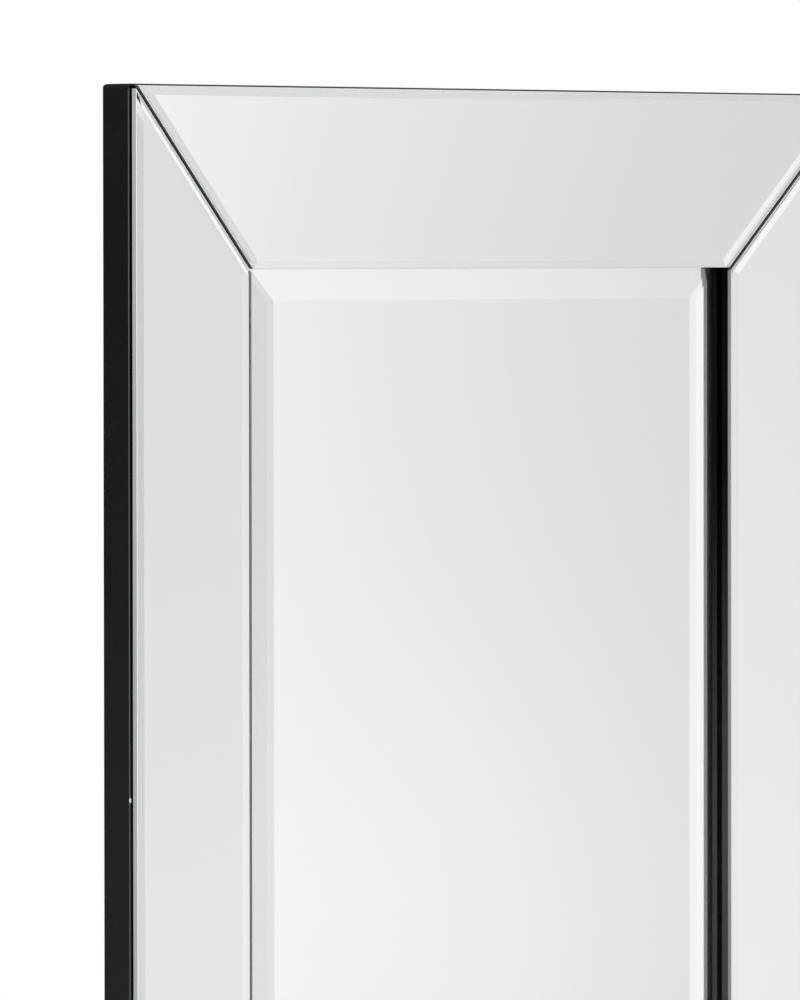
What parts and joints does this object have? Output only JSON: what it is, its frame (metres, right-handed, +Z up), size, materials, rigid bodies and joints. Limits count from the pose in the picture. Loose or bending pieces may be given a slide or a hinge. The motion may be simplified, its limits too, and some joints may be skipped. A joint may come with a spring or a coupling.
{
  "type": "rectangular wall mirror",
  "caption": "Upright rectangular wall mirror: a recessed bevelled centre mirror in a black frame faced with sloping, mitred, bevelled mirror panels; D-ring hangers behind.",
  "frame": {"origin": "middle of the wall plane that the four bumpers touch", "axes": "+X to the viewer's right, +Y into the wall, +Z up"},
  "size_m": [0.61, 0.0318, 0.914],
  "materials": {
    "black_paint": "matt black paint on fibreboard",
    "mirror_glass": "polished, silvered at the back, bevelled edges",
    "biscuit_wood": "pressed beech",
    "mounting_tape": "double-sided foam tape, 1.6 mm thick",
    "backing_card": "plain grey-brown card",
    "black_rubber": "matt",
    "hardboard": "smooth brown hardboard",
    "zinc_steel": "bright zinc plate"
  },
  "bodies": {
    "frame": {"frame_top_rail": "black_paint", "frame_bottom_rail": "black_paint", "frame_left_stile": "black_paint", "frame_right_stile": "black_paint", "corner_biscuit_top_left": "biscuit_wood", "corner_biscuit_top_right": "biscuit_wood", "corner_biscuit_bottom_left": "biscuit_wood", "corner_biscuit_bottom_right": "biscuit_wood", "mirror_panel_top": "mirror_glass", "mirror_panel_bottom": "mirror_glass", "mirror_panel_left": "mirror_glass", "mirror_panel_right": "mirror_glass", "panel_tape_top": "mounting_tape", "panel_tape_bottom": "mounting_tape", "panel_tape_left": "mounting_tape", "panel_tape_right": "mounting_tape", "centre_mirror": "mirror_glass", "backing_card": "backing_card", "setting_block_left": "black_rubber", "setting_block_right": "black_rubber", "back_board": "hardboard", "back_board_screws": "zinc_steel", "hanger_strap_left": "zinc_steel", "hanger_strap_right": "zinc_steel", "hanger_screws_left": "zinc_steel", "hanger_screws_right": "zinc_steel", "wall_bumper_top_left": "black_rubber", "wall_bumper_top_right": "black_rubber", "wall_bumper_bottom_left": "black_rubber", "wall_bumper_bottom_right": "black_rubber"},
    "ring_left": {"hanger_ring_left": "zinc_steel"},
    "ring_right": {"hanger_ring_right": "zinc_steel"}
  },
  "joints": [
    {"name": "ring_left_swing", "type": "hinge", "parent": "frame", "child": "ring_left", "pos_m": [-0.272, -0.00312, 0.227], "axis": [1, 0, 0], "range_deg": [0, 180]},
    {"name": "ring_right_swing", "type": "hinge", "parent": "frame", "child": "ring_right", "pos_m": [0.272, -0.00312, 0.227], "axis": [1, 0, 0], "range_deg": [0, 180]}
  ]
}
